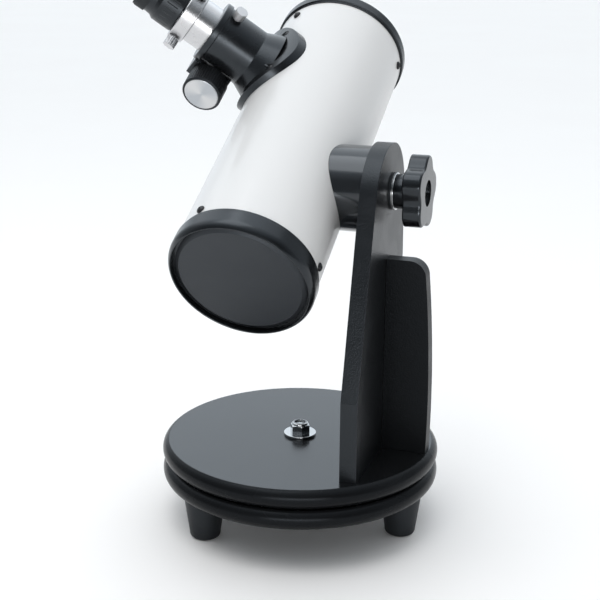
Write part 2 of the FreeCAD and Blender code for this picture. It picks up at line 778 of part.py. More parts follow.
def build_focuser():
    body = focuser_body()
    screws = []
    clear_top = tube_radius + flange_thickness + 6.4
    for along, side in focuser_screw_spots:
        spot = V(along, side, 0)
        seat = math.sqrt((tube_radius + flange_thickness) ** 2 - (abs(side) + small_head_radius) ** 2) - 0.6
        body = body.cut(rod(small_screw_radius + thread_fit, wall_inside - 20, seat + 1, UP, spot))
        body = body.cut(rod(small_head_radius + loose, seat, clear_top, UP, spot))
        screw = pan_screw(small_screw_radius, focuser_screw_length, small_head_radius, small_head_height)
        screws.append(on_focuser(moved(screw, FreeCAD.Placement(spot + V(0, 0, seat), FreeCAD.Rotation()))))
    inner = block_outer - cover_thickness
    cover = block(-block_half_length, block_half_length, inner, block_outer, block_bottom, block_top)
    cover = round_edges(cover, 1.4, lambda e: e.CenterOfMass.y > block_outer - 0.1)
    caps = []
    for along, height in cover_screw_spots:
        spot = V(along, 0, height)
        body = body.cut(rod(small_screw_radius + thread_fit, inner - 5, inner + 1, V(0, 1, 0), spot))
        cover = cover.cut(rod(small_screw_radius + loose, inner - 1, block_outer + 1, V(0, 1, 0), spot))
        screw = pan_screw(small_screw_radius, cover_thickness + 4.5, small_head_radius - 0.4, small_head_height)
        caps.append(on_focuser(moved(screw, facing(V(along, block_outer, height), V(0, 1, 0)))))
    body = body.cut(rod(lock_screw_radius + thread_fit, 10, flange_radius, V(0, -1, 0), V(0, 0, lock_height)))
    keep("focuser_body", on_focuser(body))
    keep("focuser_screws", Part.makeCompound(screws))
    keep("pinion_cover", on_focuser(cover))
    keep("cover_screws", Part.makeCompound(caps))
    keep("focus_lock_screw", on_focuser(thumbscrew(drawtube_radius + 0.2, housing_radius + 2.0, V(0, -1, 0),
                                                   V(0, 0, lock_height))))
    build_drawtube()
    build_pinion()


thumb_head_radius = 4.5
thumb_head_length = 7.0
thumb_grooves = 16
groove_radius = 0.45


def thumbscrew(tip, seat, direction, at):
    """Small knurled screw pointing at the axis from the outside."""
    head = rod(thumb_head_radius, seat, seat + thumb_head_length)
    for index in range(thumb_grooves):
        spot = polar(thumb_head_radius + 0.1, index * 360.0 / thumb_grooves)
        head = head.cut(rod(groove_radius, seat - 1, seat + thumb_head_length + 1, UP, spot))
    screw = head.fuse(rod(lock_screw_radius, tip, seat + 1))
    return moved(screw, facing(at, direction))


eyepiece_lock_height = collar_bottom + 6.0
eyepiece_lock_angles = (-90.0, 150.0)


def build_drawtube():
    tube = pipe(drawtube_radius, drawtube_bore, drawtube_bottom, collar_top)
    collar = pipe(collar_radius, drawtube_bore, collar_bottom, collar_top)
    tube = tube.fuse(round_edges(collar, 0.8, lambda e: e.BoundBox.XLength > collar_radius * 1.9))
    flat = block(-rack_half_width - 0.05, rack_half_width + 0.05, rack_root - 0.05, 30, drawtube_bottom - 1,
                 collar_bottom)
    tube = tube.cut(flat)
    spot = V(0, 0, eyepiece_lock_height)
    for index, angle in enumerate(eyepiece_lock_angles):
        out = polar(1.0, angle)
        tube = tube.cut(rod(lock_screw_radius + thread_fit, 10, collar_radius + 5, out, spot))
        screw = thumbscrew(barrel_radius + 0.2, collar_radius + 1.0, out, spot)
        keep("eyepiece_thumbscrew_%d" % (index + 1), on_focuser(screw))
    keep("drawtube", on_focuser(tube))
    root = rack_line - dedendum
    low = drawtube_bottom + 0.5
    high = collar_bottom - 0.5
    outline = [(low, rack_root), (low, root)]
    half_root = tooth_pitch * (0.5 * tooth_share + 0.10)
    half_tip = tooth_pitch * (0.5 * tooth_share - 0.08)
    first = math.ceil((low + 0.5 - pinion_height) / tooth_pitch - 0.5)
    last = math.floor((high - 0.5 - pinion_height) / tooth_pitch - 0.5)
    for index in range(first, last + 1):
        centre = pinion_height + (index + 0.5) * tooth_pitch
        outline += [(centre - half_root, root), (centre - half_tip, rack_line + addendum),
                    (centre + half_tip, rack_line + addendum), (centre + half_root, root)]
    outline += [(high, root), (high, rack_root)]
    rack = slab([(b, a) for a, b in outline], 2 * rack_half_width, V(-rack_half_width, 0, 0), V(0, 1, 0), UP)
    keep("focus_rack", on_focuser(rack))


def gear():
    """Pinion with straight-sided teeth, one tooth facing the rack."""
    root = pinion_pitch_radius - dedendum
    tip = pinion_pitch_radius + addendum
    step = 2 * math.pi / pinion_teeth
    points = []
    for index in range(pinion_teeth):
        middle = index * step
        wide = step * (0.5 * tooth_share + 0.07)
        narrow = step * (0.5 * tooth_share - 0.08)
        for radius, angle in ((root, middle - wide), (tip, middle - narrow), (tip, middle + narrow),
                              (root, middle + wide)):
            points.append(V(radius * math.cos(angle), radius * math.sin(angle), 0))
    face = Part.Face(Part.makePolygon(points + points[:1]))
    return face.extrude(V(0, 0, 2 * rack_half_width))


knob_gap = 2.5
knob_grooves = 48
cap_depth = 1.0


def focus_knob(side):
    start = block_half_length + knob_gap
    end = start + focus_knob_length
    body = turned([(0, start), (focus_knob_radius - 1.2, start), (focus_knob_radius, start + 1.2),
                   (focus_knob_radius, end - 0.8), (focus_knob_radius - 0.8, end), (0, end)])
    for index in range(knob_grooves):
        spot = polar(focus_knob_radius + 0.12, index * 360.0 / knob_grooves)
        body = body.cut(rod(groove_radius, start - 1, end - 1.4, UP, spot))
    seat = end - cap_depth
    body = body.cut(rod(focus_cap_radius + 0.02, seat, end + 1))
    body = body.cut(rod(shaft_radius + thread_fit, start - 1, seat - 2))
    cap = turned([(0, seat), (focus_cap_radius, seat), (focus_cap_radius, end - 0.1),
                  (focus_cap_radius - 0.5, end + 0.2), (0, end + 0.3)])
    axis = V(0, pinion_offset, pinion_height)
    spin = facing(axis, V(side, 0, 0))
    return on_focuser(moved(body, spin)), on_focuser(moved(cap, spin))


def build_pinion():
    axis = V(0, pinion_offset, pinion_height)
    reach = block_half_length + knob_gap + focus_knob_length - cap_depth - 2.2
    wheel = moved(gear(), facing(V(-rack_half_width, pinion_offset, pinion_height), SIDE))
    shaft = rod(shaft_radius, -reach, reach, SIDE, axis)
    keep("pinion_shaft", on_focuser(wheel.fuse(shaft)))
    for name, side in (("rear", -1), ("front", 1)):
        body, cap = focus_knob(side)
        keep("focus_knob_%s" % name, body)
        keep("focus_cap_%s" % name, cap)


# ------------------------------------------------------------ eyepiece
body_radius = 18.2
body_height = 30.0
grip_top = 16.0
throat_radius = 7.5
eyepiece_grooves = 30
cup_wall = 1.4
lens_fit = 0.05
field_lens_height = 14.0


def build_eyepiece():
    shoulder = collar_top + 0.2
    bottom = shoulder - barrel_length
    bore = barrel_radius - barrel_wall
    barrel = turned([(bore, bottom), (barrel_radius - 0.3, bottom), (barrel_radius, bottom + 0.4),
                     (barrel_radius, shoulder), (bore, shoulder)])
    keep("eyepiece_barrel", on_focuser(barrel))
    top = shoulder + body_height
    neck = body_radius - 2.6
    body = turned([(12.0, shoulder), (body_radius - 0.8, shoulder), (body_radius, shoulder + 0.8),
                   (body_radius, shoulder + grip_top), (neck + 0.8, shoulder + grip_top + 3.0), (neck, top),
                   (throat_radius, top), (throat_radius, top - 4.0), (12.0, top - 6.0)])
    for index in range(eyepiece_grooves):
        spot = polar(body_radius + 0.15, index * 360.0 / eyepiece_grooves)
        body = body.cut(rod(groove_radius, shoulder + 4.0, shoulder + grip_top - 3.0, UP, spot))
    keep("eyepiece_body", on_focuser(body))
    outer = neck + cup_wall
    cup = turned([(neck, top - 6.0), (outer, top - 6.0), (outer + 0.2, top + 1.0), (outer - 0.6, top + 3.5),
                  (throat_radius + 1.5, top + 2.4), (throat_radius + 1.5, top), (neck, top)])
    core = turned([(0, shoulder), (neck + 0.8, shoulder + grip_top + 3.0), (neck, top), (0, top)])
    keep("eyepiece_cup", on_focuser(cup.cut(core)))
    eye = throat_radius - lens_fit
    keep("eye_lens", on_focuser(turned([(0, top - 3.5), (eye, top - 2.5), (eye, top - 1.0), (0, top - 0.6)])))
    field = bore - 0.02
    low = bottom + field_lens_height
    keep("field_lens", on_focuser(turned([(0, low), (field, low + 1.0), (field, low + 4.0), (0, low + 5.0)])))


def build_all():
    build_base()
    build_turntable()
    build_rear()
    build_front()
    build_hub()
    build_star_knob()
    build_focuser()
    build_eyepiece()


def origin_shift():
    """Move that puts the middle of the whole box over the origin and the feet on z = 0."""
    box = FreeCAD.BoundBox()
    for shape in shapes.values():
        box.add(shape.optimalBoundingBox(False, False))
    return V(-(box.XMin + box.XMax) / 2, -(box.YMin + box.YMax) / 2, -box.ZMin)


build_all()
shift = origin_shift()
os.makedirs("parts", exist_ok=True)
for node, shape in shapes.items():
    shape.translate(shift)
    shape.exportStep("parts/%s.step" % node)
focuser = focuser_place()
print("SHIFT", shift.x, shift.y, shift.z)
print("HINGE", 0.0, altitude_y, altitude_z)
print("TUBE", tube_place.Base.x, tube_place.Base.y, tube_place.Base.z)
print("LEVELS", pinion_offset, pinion_height, eyepiece_lock_height, lock_height, front_ring_radius, front_ring_end)
print("FOCUSER", focuser.Base.x, focuser.Base.y, focuser.Base.z)
for label, axis in (("ALONG", SIDE), ("ROUND", V(0, 1, 0)), ("OUT", UP)):
    turned_axis = focuser.Rotation.multVec(axis)
    print(label, turned_axis.x, turned_axis.y, turned_axis.z)
print("NODES", len(shapes))
for node, shape in shapes.items():
    solids = shape.Solids
    print(node, len(solids), all(s.isValid() for s in solids), round(sum(s.Volume for s in solids), 1))
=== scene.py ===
"""Looks for a tabletop reflecting telescope on a single-arm turntable base."""
import json
import logging
import math
from dataclasses import dataclass, field
from enum import Enum
from typing import Dict, List, Optional, Sequence, Tuple

import bmesh
import bpy
from mathutils import Matrix, Quaternion, Vector


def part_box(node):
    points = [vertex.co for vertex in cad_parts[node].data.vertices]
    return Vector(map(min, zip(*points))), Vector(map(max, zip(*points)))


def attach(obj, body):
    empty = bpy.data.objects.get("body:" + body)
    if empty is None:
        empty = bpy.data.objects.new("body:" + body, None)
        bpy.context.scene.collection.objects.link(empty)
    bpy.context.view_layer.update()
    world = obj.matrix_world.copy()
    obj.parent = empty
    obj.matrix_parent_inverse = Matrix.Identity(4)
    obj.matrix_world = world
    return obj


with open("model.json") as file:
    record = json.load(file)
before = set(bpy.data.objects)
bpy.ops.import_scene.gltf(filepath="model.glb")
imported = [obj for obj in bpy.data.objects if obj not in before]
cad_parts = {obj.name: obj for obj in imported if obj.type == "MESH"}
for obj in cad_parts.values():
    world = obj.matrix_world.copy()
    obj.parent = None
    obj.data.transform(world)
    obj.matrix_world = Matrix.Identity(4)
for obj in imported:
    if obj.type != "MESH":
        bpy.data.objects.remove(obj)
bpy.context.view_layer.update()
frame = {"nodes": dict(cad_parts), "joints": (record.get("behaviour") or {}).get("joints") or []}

LOG = logging.getLogger("telescope")
MM = 0.001
DUST_COLOUR = (0.55, 0.54, 0.52)
Colour = Tuple[float, float, float]
Profile = Sequence[Tuple[float, float]]
Ramp = Tuple[float, float, float, float]


# --------------------------------------------------------------- node helpers
class Relief(Enum):
    """The named kinds of fine surface relief."""

    NONE = "none"
    PEEL = "sprayed paint"
    PEBBLE = "pebbled laminate"
    MOULDED = "moulded plastic"
    CAST = "cast metal"
    TURNED = "lathe rings"


@dataclass
class Graph:
    """A node tree being filled in.

    Args:
        tree: the material's or group's node tree.
    """

    tree: bpy.types.NodeTree

    def add(self, kind: str, **settings: object) -> bpy.types.Node:
        """Add a node and set its plain properties.

        Args:
            kind: Blender's node type name.
            settings: attribute names and values.

        Returns:
            The new node.
        """
        node = self.tree.nodes.new(kind)
        for name, value in settings.items():
            setattr(node, name, value)
        return node

    def link(self, source: bpy.types.NodeSocket, target: bpy.types.NodeSocket) -> None:
        """Join two sockets."""
        self.tree.links.new(source, target)

    def maths(self, operation: str, first: object, second: object = 0.0, clamp: bool = False) -> bpy.types.NodeSocket:
        """Add a Math node.

        Args:
            operation: Blender's name of the operation.
            first: a socket or a number.
            second: a socket or a number.
            clamp: keep the result between 0 and 1.

        Returns:
            The result socket.
        """
        node = self.add("ShaderNodeMath", operation=operation, use_clamp=clamp)
        for slot, value in zip(node.inputs, (first, second)):
            if isinstance(value, (int, float)):
                slot.default_value = value
            else:
                self.link(value, slot)
        return node.outputs[0]

    def mix(self, mask: bpy.types.NodeSocket, first: object, second: object) -> bpy.types.NodeSocket:
        """Mix two colours by a mask.

        Args:
            mask: 0 gives the first colour and 1 the second.
            first: a socket or a colour of three numbers.
            second: a socket or a colour of three numbers.

        Returns:
            The colour socket.
        """
        node = self.add("ShaderNodeMix", data_type="RGBA")
        self.link(mask, node.inputs["Factor"])
        for slot, value in ((node.inputs[6], first), (node.inputs[7], second)):
            if isinstance(value, bpy.types.NodeSocket):
                self.link(value, slot)
            else:
                slot.default_value = (*value, 1.0)
        return node.outputs[2]

    def remap(self, value: bpy.types.NodeSocket, low: float, high: float, to_low: float, to_high: float
              ) -> bpy.types.NodeSocket:
        """Map a value from one range to another, clamped.

        Args:
            value: the socket to map.
            low: value that gives to_low.
            high: value that gives to_high.
            to_low: lower result.
            to_high: upper result.

        Returns:
            The result socket.
        """
        node = self.add("ShaderNodeMapRange")
        self.link(value, node.inputs["Value"])
        for name, number in (("From Min", low), ("From Max", high), ("To Min", to_low), ("To Max", to_high)):
            node.inputs[name].default_value = number
        return node.outputs["Result"]


def new_group(name: str, inputs: Sequence[Tuple[str, str, object]], outputs: Sequence[Tuple[str, str]]
              ) -> Tuple[Graph, bpy.types.Node, bpy.types.Node]:
    """Start a shader node group.

    Args:
        name: the group's name.
        inputs: name, socket type and default of each input.
        outputs: name and socket type of each output.

    Returns:
        The group's graph, its input node and its output node.
    """
    tree = bpy.data.node_groups.new(name, "ShaderNodeTree")
    for label, kind, default in inputs:
        socket = tree.interface.new_socket(name=label, in_out="INPUT", socket_type=kind)
        socket.default_value = default
    for label, kind in outputs:
        tree.interface.new_socket(name=label, in_out="OUTPUT", socket_type=kind)
    graph = Graph(tree)
    return graph, graph.add("NodeGroupInput"), graph.add("NodeGroupOutput")


FLOAT = "NodeSocketFloat"
VECTOR = "NodeSocketVector"


class EffectKit:
    """Shader node groups that the finishes share."""

    def __init__(self) -> None:
        """Build every group once."""
        self.mottle = self._mottle()
        self.pebble = self._pebble()
        self.peel = self._peel()
        self.rings = self._rings()
        self.edge = self._edge()
        self.dust = self._dust()
        self.smudge = self._smudge()
        self.painted_fan = self._painted_fan()

    @staticmethod
    def _mottle() -> bpy.types.NodeTree:
        """Slow drift of tone over a surface."""
        graph, enter, leave = new_group("tone_mottle", [("Scale", FLOAT, 20.0)], [("Mask", FLOAT)])
        place = graph.add("ShaderNodeTexCoord")
        noise = graph.add("ShaderNodeTexNoise")
        noise.inputs["Detail"].default_value = 5.0
        noise.inputs["Roughness"].default_value = 0.6
        graph.link(place.outputs["Object"], noise.inputs["Vector"])
        graph.link(enter.outputs["Scale"], noise.inputs["Scale"])
        graph.link(graph.remap(noise.outputs["Fac"], 0.3, 0.7, 0.0, 1.0), leave.inputs["Mask"])
        return graph.tree

    @staticmethod
    def _pebble() -> bpy.types.NodeTree:
        """Small rounded grains, with a finer grit over them."""
        graph, enter, leave = new_group(
            "pebble_grain", [("Grains per metre", FLOAT, 1500.0), ("Grit", FLOAT, 0.3)], [("Height", FLOAT)])
        place = graph.add("ShaderNodeTexCoord")
        cells = graph.add("ShaderNodeTexVoronoi", feature="SMOOTH_F1")
        cells.inputs["Smoothness"].default_value = 0.6
        grit = graph.add("ShaderNodeTexNoise")
        grit.inputs["Detail"].default_value = 2.0
        graph.link(place.outputs["Object"], cells.inputs["Vector"])
        graph.link(place.outputs["Object"], grit.inputs["Vector"])
        graph.link(enter.outputs["Grains per metre"], cells.inputs["Scale"])
        graph.link(graph.maths("MULTIPLY", enter.outputs["Grains per metre"], 2.3), grit.inputs["Scale"])
        fine = graph.maths("MULTIPLY", grit.outputs["Fac"], enter.outputs["Grit"])
        domes = graph.maths("SUBTRACT", 1.0, cells.outputs["Distance"])
        graph.link(graph.maths("ADD", domes, fine), leave.inputs["Height"])
        return graph.tree

    @staticmethod
    def _peel() -> bpy.types.NodeTree:
        """Shallow waves left by sprayed and flowed paint."""
        graph, enter, leave = new_group("paint_peel", [("Waves per metre", FLOAT, 250.0)], [("Height", FLOAT)])
        place = graph.add("ShaderNodeTexCoord")
        noise = graph.add("ShaderNodeTexNoise")
        noise.inputs["Detail"].default_value = 2.0
        noise.inputs["Roughness"].default_value = 0.4
        graph.link(place.outputs["Object"], noise.inputs["Vector"])
        graph.link(enter.outputs["Waves per metre"], noise.inputs["Scale"])
        graph.link(noise.outputs["Fac"], leave.inputs["Height"])
        return graph.tree

    @staticmethod
    def _rings() -> bpy.types.NodeTree:
        """Fine rings about an axis, as a lathe tool leaves."""
        graph, enter, leave = new_group(
            "turned_rings",
            [("Centre", VECTOR, (0.0, 0.0, 0.0)), ("Axis", VECTOR, (0.0, 0.0, 1.0)),
             ("Rings per metre", FLOAT, 4000.0), ("Along", FLOAT, 0.0)],
            [("Height", FLOAT), ("Mask", FLOAT)])
        place = graph.add("ShaderNodeTexCoord")
        arm = graph.add("ShaderNodeVectorMath", operation="SUBTRACT")
        graph.link(place.outputs["Object"], arm.inputs[0])
        graph.link(enter.outputs["Centre"], arm.inputs[1])
        height = graph.add("ShaderNodeVectorMath", operation="DOT_PRODUCT")
        graph.link(arm.outputs["Vector"], height.inputs[0])
        graph.link(enter.outputs["Axis"], height.inputs[1])
        cross = graph.add("ShaderNodeVectorMath", operation="CROSS_PRODUCT")
        graph.link(arm.outputs["Vector"], cross.inputs[0])
        graph.link(enter.outputs["Axis"], cross.inputs[1])
        reach = graph.add("ShaderNodeVectorMath", operation="LENGTH")
        graph.link(cross.outputs["Vector"], reach.inputs[0])
        travel = graph.maths("ADD", reach.outputs["Value"],
                             graph.maths("MULTIPLY", height.outputs["Value"], enter.outputs["Along"]))
        count = graph.maths("MULTIPLY", travel, enter.outputs["Rings per metre"])
        wobble = graph.add("ShaderNodeTexNoise", noise_dimensions="1D")
        wobble.inputs["Scale"].default_value = 1.0
        wobble.inputs["Detail"].default_value = 3.0
        graph.link(count, wobble.inputs["W"])
        graph.link(wobble.outputs["Fac"], leave.inputs["Height"])
        graph.link(graph.remap(wobble.outputs["Fac"], 0.35, 0.65, 0.0, 1.0), leave.inputs["Mask"])
        return graph.tree

    @staticmethod
    def _painted_fan() -> bpy.types.NodeTree:
        """Mask of two opposite fans across a spun face, for a painted highlight."""
        graph, enter, leave = new_group(
            "spun_painted_highlight_fan", [("Centre", VECTOR, (0.0, 0.0, 0.0)), ("Across", VECTOR, (1.0, 0.0, 0.0))],
            [("Mask", FLOAT)])
        place = graph.add("ShaderNodeTexCoord")
        arm = graph.add("ShaderNodeVectorMath", operation="SUBTRACT")
        graph.link(place.outputs["Object"], arm.inputs[0])
        graph.link(enter.outputs["Centre"], arm.inputs[1])
        spoke = graph.add("ShaderNodeVectorMath", operation="NORMALIZE")
        graph.link(arm.outputs["Vector"], spoke.inputs[0])
        share = graph.add("ShaderNodeVectorMath", operation="DOT_PRODUCT")
        graph.link(spoke.outputs["Vector"], share.inputs[0])
        graph.link(enter.outputs["Across"], share.inputs[1])
        square = graph.maths("MULTIPLY", share.outputs["Value"], share.outputs["Value"])
        graph.link(graph.remap(square, 0.1, 0.95, 0.0, 1.0), leave.inputs["Mask"])
        return graph.tree

    @staticmethod
    def _edge() -> bpy.types.NodeTree:
        """Rounded-edge normal, and a broken mask along the edges."""
        graph, enter, leave = new_group(
            "soft_edges", [("Radius", FLOAT, 0.0005), ("Break up", FLOAT, 400.0)],
            [("Normal", VECTOR), ("Mask", FLOAT)])
        bevel = graph.add("ShaderNodeBevel", samples=4)
        shape = graph.add("ShaderNodeNewGeometry")
        graph.link(enter.outputs["Radius"], bevel.inputs["Radius"])
        turn = graph.add("ShaderNodeVectorMath", operation="DOT_PRODUCT")
        graph.link(bevel.outputs["Normal"], turn.inputs[0])
        graph.link(shape.outputs["Normal"], turn.inputs[1])
        sharp = graph.remap(turn.outputs["Value"], 0.985, 0.8, 0.0, 1.0)
        place = graph.add("ShaderNodeTexCoord")
        noise = graph.add("ShaderNodeTexNoise")
        noise.inputs["Detail"].default_value = 4.0
        graph.link(place.outputs["Object"], noise.inputs["Vector"])
        graph.link(enter.outputs["Break up"], noise.inputs["Scale"])
        worn = graph.remap(noise.outputs["Fac"], 0.42, 0.62, 0.0, 1.0)
        graph.link(bevel.outputs["Normal"], leave.inputs["Normal"])
        graph.link(graph.maths("MULTIPLY", sharp, worn), leave.inputs["Mask"])
        return graph.tree

    @staticmethod
    def _dust() -> bpy.types.NodeTree:
        """Specks and a thin film on surfaces that face up."""
        graph, enter, leave = new_group("settled_dust", [("Specks per metre", FLOAT, 900.0)], [("Mask", FLOAT)])
        shape = graph.add("ShaderNodeNewGeometry")
        parts = graph.add("ShaderNodeSeparateXYZ")
        graph.link(shape.outputs["Normal"], parts.inputs["Vector"])
        upward = graph.remap(parts.outputs["Z"], 0.2, 0.95, 0.0, 1.0)
        place = graph.add("ShaderNodeTexCoord")
        specks = graph.add("ShaderNodeTexNoise")
        specks.inputs["Detail"].default_value = 3.0
        graph.link(place.outputs["Object"], specks.inputs["Vector"])
        graph.link(enter.outputs["Specks per metre"], specks.inputs["Scale"])
        spots = graph.remap(specks.outputs["Fac"], 0.63, 0.78, 0.0, 1.0)
        film = graph.add("ShaderNodeTexNoise")
        film.inputs["Scale"].default_value = 16.0
        graph.link(place.outputs["Object"], film.inputs["Vector"])
        haze = graph.remap(film.outputs["Fac"], 0.35, 0.75, 0.15, 0.6)
        cover = graph.maths("ADD", spots, haze, clamp=True)
        graph.link(graph.maths("MULTIPLY", cover, upward), leave.inputs["Mask"])
        return graph.tree

    @staticmethod
    def _smudge() -> bpy.types.NodeTree:
        """Handling marks that change the gloss a little."""
        graph, enter, leave = new_group("handling_smudge", [("Scale", FLOAT, 30.0)], [("Mask", FLOAT)])
        place = graph.add("ShaderNodeTexCoord")
        swirl = graph.add("ShaderNodeTexNoise")
        swirl.inputs["Detail"].default_value = 6.0
        swirl.inputs["Distortion"].default_value = 1.2
        graph.link(place.outputs["Object"], swirl.inputs["Vector"])
        graph.link(enter.outputs["Scale"], swirl.inputs["Scale"])
        graph.link(graph.remap(swirl.outputs["Fac"], 0.4, 0.68, 0.0, 1.0), leave.inputs["Mask"])
        return graph.tree


@dataclass(frozen=True)
class Finish:
    """One finish of a surface and how to make its material.

    Args:
        name: the material's name.
        colour: main colour, linear.
        drift: colour that the main one drifts towards.
        roughness: roughness where the surface is clean.
        spread: how much handling marks add to the roughness.
        metallic: 1 for bare metal.
        coat: strength of a clear coat.
        coat_roughness: roughness of the clear coat.
        specular: strength of the plain reflection.
        tint: colour of the plain reflection.
        relief: kind of fine relief.
        relief_scale: features of the relief per metre.
        relief_depth: height of the relief in metres.
        edge_radius: how far sharp edges are rounded, in metres.
        wear_colour: colour where edges are rubbed.
        wear: how strongly the edges show it.
        dust: how strongly dust shows.
        mottle_scale: size of the colour drift.
        turned: centre, axis and lean of lathe rings, if any.
        painted_fan: direction of the painted highlight fans across a spun face, if any.
        painted_highlight_colour: colour painted inside the fans, a painted highlight.
    """

    name: str
    colour: Colour
    drift: Colour
    roughness: float = 0.4
    spread: float = 0.08
    metallic: float = 0.0
    coat: float = 0.0
    coat_roughness: float = 0.08
    specular: float = 0.5
    tint: Colour = (0.82, 0.91, 1.0)
    relief: Relief = Relief.NONE
    relief_scale: float = 800.0
    relief_depth: float = 0.00002
    edge_radius: float = 0.0004
    wear_colour: Colour = (0.12, 0.12, 0.12)
    wear: float = 0.25
    dust: float = 0.04
    mottle_scale: float = 18.0
    turned: Optional[Tuple[Colour, Colour, float]] = None
    painted_fan: Optional[Colour] = None
    painted_highlight_colour: Colour = (0.8, 0.8, 0.8)

    def _height(self, graph: Graph, kit: EffectKit) -> Optional[bpy.types.NodeSocket]:
        """Add the relief group.

        Args:
            graph: the material's graph.
            kit: the shared groups.

        Returns:
            The height socket, or None without relief.
        """
        if self.relief is Relief.NONE:
            return None
        if self.relief is Relief.TURNED:
            node = graph.add("ShaderNodeGroup", node_tree=kit.rings)
            centre, axis, along = self.turned
            node.inputs["Centre"].default_value = centre
            node.inputs["Axis"].default_value = axis
            node.inputs["Along"].default_value = along
            node.inputs["Rings per metre"].default_value = self.relief_scale
            return node.outputs["Height"]
        if self.relief is Relief.PEEL:
            node = graph.add("ShaderNodeGroup", node_tree=kit.peel)
            node.inputs["Waves per metre"].default_value = self.relief_scale
            return node.outputs["Height"]
        node = graph.add("ShaderNodeGroup", node_tree=kit.pebble)
        node.inputs["Grains per metre"].default_value = self.relief_scale
        grit = {Relief.PEBBLE: 0.35, Relief.MOULDED: 0.8, Relief.CAST: 1.2}
        node.inputs["Grit"].default_value = grit[self.relief]
        return node.outputs["Height"]

    def material(self, kit: EffectKit) -> bpy.types.Material:
        """Build the material.

        Args:
            kit: the shared groups.

        Returns:
            The finished material.
        """
        made = bpy.data.materials.new(self.name)
        made.use_nodes = True
        made.node_tree.nodes.clear()
        graph = Graph(made.node_tree)
        shader = graph.add("ShaderNodeBsdfPrincipled")
        leave = graph.add("ShaderNodeOutputMaterial")
        graph.link(shader.outputs["BSDF"], leave.inputs["Surface"])
        shader.inputs["Metallic"].default_value = self.metallic
        shader.inputs["Specular IOR Level"].default_value = self.specular
        if self.metallic == 0.0:
            shader.inputs["Specular Tint"].default_value = (*self.tint, 1.0)
        shader.inputs["Coat Weight"].default_value = self.coat
        shader.inputs["Coat Roughness"].default_value = self.coat_roughness
        mottle = graph.add("ShaderNodeGroup", node_tree=kit.mottle)
        mottle.inputs["Scale"].default_value = self.mottle_scale
        colour = graph.mix(mottle.outputs["Mask"], self.colour, self.drift)
        # Painted highlight: a brighter colour in two opposite fans stands in for the reflection of a spun face.
        if self.painted_fan is not None:
            painted_fan = graph.add("ShaderNodeGroup", node_tree=kit.painted_fan)
            painted_fan.inputs["Centre"].default_value = self.turned[0]
            painted_fan.inputs["Across"].default_value = self.painted_fan
            colour = graph.mix(painted_fan.outputs["Mask"], colour, self.painted_highlight_colour)
        edge = graph.add("ShaderNodeGroup", node_tree=kit.edge)
        edge.inputs["Radius"].default_value = self.edge_radius
        if self.wear > 0:
            rubbed = graph.maths("MULTIPLY", edge.outputs["Mask"], self.wear)
            colour = graph.mix(rubbed, colour, self.wear_colour)
        if self.dust > 0:
            dust = graph.add("ShaderNodeGroup", node_tree=kit.dust)
            film = graph.maths("MULTIPLY", dust.outputs["Mask"], self.dust)
            colour = graph.mix(film, colour, DUST_COLOUR)
        graph.link(colour, shader.inputs["Base Color"])
        smudge = graph.add("ShaderNodeGroup", node_tree=kit.smudge)
        rough = graph.remap(smudge.outputs["Mask"], 0.0, 1.0, self.roughness, self.roughness + self.spread)
        graph.link(rough, shader.inputs["Roughness"])
        height = self._height(graph, kit)
        if height is None:
            graph.link(edge.outputs["Normal"], shader.inputs["Normal"])
        else:
            bump = graph.add("ShaderNodeBump")
            bump.inputs["Distance"].default_value = self.relief_depth
            graph.link(height, bump.inputs["Height"])
            graph.link(edge.outputs["Normal"], bump.inputs["Normal"])
            graph.link(bump.outputs["Normal"], shader.inputs["Normal"])
        return made


# --------------------------------------------------------------- mesh helpers
def joint(name: str) -> Dict[str, object]:
    """Look up one joint of the frame by name."""
    return next(j for j in frame["joints"] if j["name"] == name)


def node_centre(name: str) -> Vector:
    """Middle of a CAD node's box."""
    low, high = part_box(name)
    return (Vector(low) + Vector(high)) / 2


def finish_mesh(name: str, shape: bmesh.types.BMesh, material: bpy.types.Material, smooth: float = 35.0
                ) -> bpy.types.Object:
    """Turn a bmesh into an object with a material.

    Args:
        name: the object's name.
        shape: the mesh, freed afterwards.
        material: its finish.
        smooth: angle in degrees under which faces shade smoothly.

    Returns:
        The new object, linked to the scene.
    """
    mesh = bpy.data.meshes.new(name)
    bmesh.ops.recalc_face_normals(shape, faces=shape.faces)
    limit = math.radians(smooth)
    for face in shape.faces:
        face.smooth = True
    for edge in shape.edges:
        if len(edge.link_faces) == 2 and edge.calc_face_angle(0.0) > limit:
            edge.smooth = False
    shape.to_mesh(mesh)
    shape.free()
    piece = bpy.data.objects.new(name, mesh)
    bpy.context.scene.collection.objects.link(piece)
    mesh.materials.append(material)
    return piece


